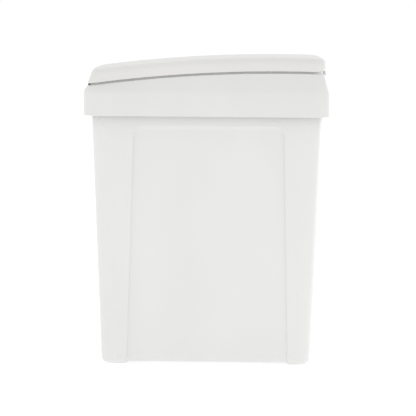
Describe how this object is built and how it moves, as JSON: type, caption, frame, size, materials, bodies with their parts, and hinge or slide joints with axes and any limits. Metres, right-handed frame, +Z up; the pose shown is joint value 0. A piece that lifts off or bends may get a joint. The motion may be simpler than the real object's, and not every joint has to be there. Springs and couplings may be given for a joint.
{
  "type": "pedal trash can",
  "caption": "Tapered plastic pedal trash can with a wide collar, an arched hinged lid, a lift-out bucket with a bail and a flush pedal in a toe recess.",
  "frame": {"origin": "on the floor under the middle of the collar's outline", "axes": "+Z up, -X the pedal side, +X the hinge side, +Y the left side seen from the pedal"},
  "size_m": [0.37, 0.26, 0.4559],
  "materials": {
    "body_plastic": "satin moulded white",
    "collar_plastic": "satin moulded white",
    "lid_plastic": "satin moulded warm white",
    "pedal_plastic": "satin moulded white",
    "inner_plastic": "plain moulded white",
    "bucket_plastic": "plain moulded grey",
    "grip_plastic": "satin moulded white",
    "nylon": "natural nylon",
    "rubber": "plain dark rubber",
    "lever_steel": "zinc plated",
    "rod_steel": "drawn",
    "screw_steel": "zinc plated",
    "bail_wire": "drawn"
  },
  "bodies": {
    "can_body": {"body_shell": "body_plastic", "base_chassis": "inner_plastic", "foot_front_left": "rubber", "foot_front_right": "rubber", "foot_rear_left": "rubber", "foot_rear_right": "rubber", "axle_bracket_left": "nylon", "axle_bracket_right": "nylon", "bracket_screws": "screw_steel", "pedal_axle": "rod_steel", "axle_clip_left": "screw_steel", "axle_clip_right": "screw_steel", "rod_guard": "inner_plastic", "guard_screws": "screw_steel", "rod_guide_lower": "nylon", "rod_guide_upper": "nylon"},
    "pedal": {"pedal_lever": "lever_steel", "lever_bush_left": "nylon", "lever_bush_right": "nylon", "lever_pad": "nylon", "pedal_tread": "pedal_plastic", "tread_grip": "rubber", "tread_screws": "screw_steel"},
    "push_rod": {"push_rod": "rod_steel", "rod_foot": "nylon", "rod_tip": "nylon"},
    "collar": {"collar": "collar_plastic", "hinge_pin_left": "rod_steel", "hinge_pin_right": "rod_steel", "lid_bumper_left": "rubber", "lid_bumper_right": "rubber"},
    "lid": {"lid_shell": "lid_plastic", "roller_pin": "rod_steel"},
    "roller": {"lid_roller": "nylon"},
    "bucket": {"inner_bucket": "bucket_plastic"},
    "handle": {"bucket_handle": "bail_wire", "handle_grip": "grip_plastic"}
  },
  "joints": [
    {"name": "lid_hinge", "type": "hinge", "parent": "collar", "child": "lid", "pos_m": [0.1695, 0, 0.4335], "axis": [0, 1, 0], "range_deg": [0, 75]},
    {"name": "pedal_hinge", "type": "hinge", "parent": "can_body", "child": "pedal", "pos_m": [0, 0, 0.0185], "axis": [0, -1, 0], "range_deg": [0, 8.2]},
    {"name": "rod_slide", "type": "slide", "parent": "can_body", "child": "push_rod", "axis": [0.0463, 0, 0.9989], "range_m": [0, 0.0196]},
    {"name": "roller_spin", "type": "hinge", "parent": "lid", "child": "roller", "pos_m": [0.15681, 0, 0.42376], "axis": [0, 1, 0], "continuous": true},
    {"name": "collar_lift", "type": "slide", "parent": "can_body", "child": "collar", "axis": [0, 0, 1], "range_m": [0, 0.09]},
    {"name": "bucket_lift", "type": "slide", "parent": "can_body", "child": "bucket", "axis": [0, 0, 1], "range_m": [0, 0.03]},
    {"name": "handle_swing", "type": "hinge", "parent": "bucket", "child": "handle", "pos_m": [-0.0115, 0, 0.3845], "axis": [0, 1, 0], "range_deg": [0, 180]}
  ],
  "couplings": [
    {"joint": "pedal_hinge", "follows": "lid_hinge", "ratio": 0.10831},
    {"joint": "rod_slide", "follows": "lid_hinge", "m_per_rad": 0.014898}
  ]
}
